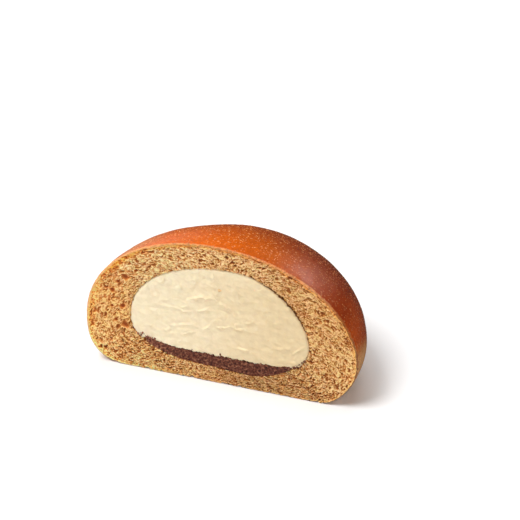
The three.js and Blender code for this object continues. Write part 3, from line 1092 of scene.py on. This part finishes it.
def pasteMaterial():
    values = pasteValues
    material, bench, place = newMaterial("beanPaste")
    grain = bench.noise(place, values["scales"]["grain"], 3.0, 0.7)
    colour = bench.ramp(grain, tints(values["colours"]))
    thin = bench.ease(bench.split(place) / mm, -13.0, -25.0)  # the left end
    patches = bench.noise(place, values["scales"]["patches"], 2.0)
    thin = thin + bench.ease(patches, 0.52, 0.66) * 0.5
    endMaterial(bench, {
        "Base Color": bench.blend(thin, colour, bench.times(colour, values["thin"])),
        "Normal": bumped(bench, grain, values["bump"]),
        **values["finish"],
    })
    return material


def pasteGrains(material):
    bench, start = newGrowth("pasteGrains", {"Height": 0.0004, "Grain size": 1.0, "Seed": 2})
    shift = bench.stretch((1, 1, 1), start.out("Seed"))
    place = bench.plus(bench.node("GeometryNodeInputPosition"), shift)
    scale = 1000.0 / start.out("Grain size")
    warp = bench.stretch(bench.sway(place, scale * 0.6), 0.0008)
    grains = bench.cells(bench.plus(place, warp), scale).out("Distance")
    rise = (0.5 - grains) * start.out("Height") * named(bench, "face")
    return endGrowth(bench, moved(bench, start, bench.join(y=0.0 - rise)), material)


def pasteFringe(turn):  # how far the paste is pressed past the hollow's outline into the crumb
    waves = [(31, 0.4, 1.0), (67, 2.0, 0.9), (113, 1.1, 0.8), (197, 3.0, 0.6)]
    total = sum(size * np.sin(rate * turn + start) for rate, start, size in waves)
    even, uneven = pasteValues["fringe"]
    return even + uneven * total


def makePaste(material):
    values = pasteValues
    fine = np.linspace(math.pi, fullTurn, 4000)
    line = fillingSurface(towards(fine, math.pi / 2), pasteFringe(fine))[:, [0, 2]]
    low = line[line[:, 1] < pasteTopLevel(line[:, 0]) - 0.1 * mm]
    across = np.linspace(values["leftTip"], values["rightTip"], values["columns"] + 1)
    bottom = np.interp(across, low[:, 0], low[:, 1])
    top = pasteTopLevel(across)
    share = np.linspace(0, 1, values["rows"] + 1)
    x = np.repeat(across[:, None], len(share), 1)
    z = bottom[:, None] + (top - bottom)[:, None] * share[None]
    edge = np.minimum(share, 1 - share)[None] * (top - bottom)[:, None]
    y = cutY + values["recess"] + values["edgeDrop"] * np.clip(1 - edge / values["edge"], 0, 1) ** 2
    front = np.stack([x, y, z], -1)
    skin = Skin()
    ids = skin.ring(front.reshape(-1, 3), face=np.ones(x.size)).reshape(x.shape)
    loop = gridFaces(skin, ids)
    centre = np.array([fillingForm["crownX"], 0, values["middleHeight"]])
    closeBack(skin, loop, front.reshape(-1, 3)[loop], values, centre, values["recess"] + values["edgeDrop"])
    return grow(skin.piece("beanPaste"), pasteGrains(material), {
        "Height": values["grain"], "Grain size": values["grainSize"],
    })


# grains of paste and crumbs of bread that the knife left on the cut, each a lump of 20 or 80 faces
scrapValues = {
    "pasteCount": 150,
    "pasteSize": (0.12 * mm, 0.42 * mm),
    "pasteSeeds": (6, 7),  # for the places, and for the lumps
    "endParts": (0.35, 0.75),  # part of the grains that lies at the left end, and at both ends
    "leftEnd": (-24.5, 2.2),  # middle and spread in mm
    "rightEnd": (26.0, 1.8),
    "betweenEnds": (-22, 22),
    "scale": 1500.0,  # per metre
    "breadSeed": 9,
    # x, z and radius in mm
    "breadSpots": [
        (-0.3, 37.0, 0.62), (-14.5, 34.2, 0.2), (11.8, 39.5, 0.22), (16.5, 21.0, 0.18), (-20.5, 22.0, 0.17),
    ],
    "breadColour": "f2cc9c",
    "finish": {"Roughness": 0.7, "Specular IOR Level": 0.3},
}


def scrapMaterial():
    values = scrapValues
    material, bench, place = newMaterial("toastedScraps")
    grain = bench.noise(place, values["scale"], 2.0)
    mottle = bench.tones(grain, [(0.3, (0.75, 0.7, 0.6)), (0.7, (1.15, 1.15, 1.15))])
    colour = bench.times(tint(values["breadColour"])[:3], mottle)
    endMaterial(bench, {"Base Color": colour, **values["finish"]})
    return material


def lumps(name, spots, material, seed):  # spots: x, level behind the cut, z and radius
    draw = np.random.default_rng(seed)
    made = bmesh.new()
    for x, level, z, radius in spots:
        finer = 2 if radius > 0.3 * mm else 1
        new = bmesh.ops.create_icosphere(made, subdivisions=finer, radius=1.0)["verts"]
        stretch = draw.uniform(0.7, 1.3, 3) * radius
        turned = Euler(draw.uniform(0, fullTurn, 3))
        for vertex in new:
            ruffled = vertex.co * draw.uniform(0.8, 1.15)
            ruffled.rotate(turned)
            vertex.co = Vector((x, cutY + level, z)) + Vector([a * b for a, b in zip(ruffled, stretch)])
    mesh = bpy.data.meshes.new(name)
    made.to_mesh(mesh)
    made.free()
    mesh.materials.append(material)
    mesh.shade_smooth()
    return linked(name, mesh)


def makePasteGrains(material):  # they lie along the paste's top edge, most of them at its two thin ends
    values = scrapValues
    placeSeed, lumpSeed = values["pasteSeeds"]
    atLeft, atEnds = values["endParts"]
    draw = np.random.default_rng(placeSeed)
    spots = []
    for _ in range(values["pasteCount"]):
        part = draw.uniform()
        if part < atLeft:
            x = draw.normal(*values["leftEnd"]) * mm
        elif part < atEnds:
            x = draw.normal(*values["rightEnd"]) * mm
        else:
            x = draw.uniform(*values["betweenEnds"]) * mm
        x = float(np.clip(x, -29.2 * mm, 29.0 * mm))
        z = float(pasteTopLevel(x)) + draw.normal(0.1, 0.4) * mm
        if x > pasteValues["rightTip"]:
            z = float(hollowFloor(x)) + draw.uniform(0.2, 1.6) * mm
        radius = between(values["pasteSize"], draw.uniform() ** 2)
        spots.append((x, creamValues["recess"] + 0.05 * mm, z, radius))
    return lumps("pasteGrains", spots, material, lumpSeed)


def makeBreadScraps(material):
    spots = []
    for x, z, size in scrapValues["breadSpots"]:
        sunk = creamValues["recess"] + size * 0.1 * mm
        spots.append((x * mm, sunk, z * mm, size * mm))
    return lumps("breadScraps", spots, material, scrapValues["breadSeed"])


studioValues = {
    "aim": (13.73 * mm, cutY, 51.9 * mm),  # point on the optical axis
    "azimuth": 18.94,
    "elevation": 33.0,
    "distance": 0.9,
    "lens": 194.04,
    "sensor": 36.0,
    "lightAim": (0, 0, 25 * mm),
    "floor": "fafafa",
    "floorHalf": 3.0,
    "sky": 0.06,
}
# lights: azimuth, elevation, distance, size and watts
softboxes = {
    "keyLight": (-44, 61, 2.2, (1.1, 1.1), 43.0),
    "fillLight": (30, 35, 1.8, (1.0, 1.0), 6.5),
    "topLight": (-150, 74, 2.0, (1.4, 1.4), 16.0),
    "rearLight": (161, 24, 1.1, (0.24, 0.12), 1.25),
    "leftLight": (-146, 8, 1.1, (0.3, 0.2), 0.3),
}


def stand(thing, aim, azimuth, elevation, distance):  # degrees to the right of the front, and up
    a, e = math.radians(azimuth), math.radians(elevation)
    way = Vector((math.sin(a) * math.cos(e), -math.cos(a) * math.cos(e), math.sin(e)))
    thing.location = Vector(aim) + way * distance
    thing.rotation_euler = (-way).to_track_quat("-Z", "Y").to_euler()


def makeCamera():
    values = studioValues
    data = bpy.data.cameras.new("camera")
    data.lens = values["lens"]
    data.sensor_width = values["sensor"]
    data.clip_start = 0.05
    camera = linked("camera", data)
    stand(camera, values["aim"], values["azimuth"], values["elevation"], values["distance"])
    bpy.context.scene.camera = camera


def softbox(name, azimuth, elevation, distance, size, power):
    data = bpy.data.lights.new(name, "AREA")
    data.shape = "RECTANGLE"
    data.size, data.size_y = size
    data.energy = power
    stand(linked(name, data), studioValues["lightAim"], azimuth, elevation, distance)


def makeStudio():
    values = studioValues
    half = values["floorHalf"]
    corners = [(-half, -half, 0), (half, -half, 0), (half, half, 0), (-half, half, 0)]
    mesh = bpy.data.meshes.new("floor")
    mesh.from_pydata(corners, [], [(0, 1, 2, 3)])
    floor = linked("floor", mesh)
    material, bench, _ = newMaterial("paleFloor")
    colour = tint(values["floor"])
    endMaterial(bench, {"Base Color": colour, "Roughness": 0.9, "Specular IOR Level": 0.1})
    mesh.materials.append(material)
    floor.visible_glossy = False  # the glaze mirrors the soft lights alone
    world = bpy.data.worlds.new("studio")
    world.use_nodes = True
    bench = Bench(world.node_tree)
    sky = bench.node("ShaderNodeBackground", None, {"Color": (1, 1, 1, 1), "Strength": values["sky"]})
    bench.node("ShaderNodeOutputWorld", None, {"Surface": sky})
    bpy.context.scene.world = world
    for name, facts in softboxes.items():
        softbox(name, *facts)
    bpy.context.scene.view_settings.view_transform = "Standard"


crust = makeCrust(crustMaterial())
print("crust:", len(crust.data.polygons), "faces")
flecks = makeFlecks(crust, fleckMaterial())
print("flecks on the crust:", len(flecks.data.polygons), "faces")
crumb = makeCrumb(crumbMaterial())
print("crumb:", len(crumb.data.polygons), "faces")
cream = makeCream(creamMaterial())
print("cream:", len(cream.data.polygons), "faces")
pasteLook = pasteMaterial()
paste = makePaste(pasteLook)
print("bean paste:", len(paste.data.polygons), "faces")
grains = makePasteGrains(pasteLook)
scraps = makeBreadScraps(scrapMaterial())
print("loose grains:", len(grains.data.polygons) + len(scraps.data.polygons), "faces")

for piece, node, slot in (
    (crust, "bread", "crust"),
    (crumb, "bread", "crumb"),
    (cream, "cream", "cream"),
    (paste, "bean_paste", "bean_paste"),
):
    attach(piece, "root")
    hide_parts(node)
for piece, slot in ((flecks, "crust"), (grains, "bean_paste"), (scraps, "crumb")):
    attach(piece, "root")

makeStudio()
makeCamera()
print("studio and camera set")
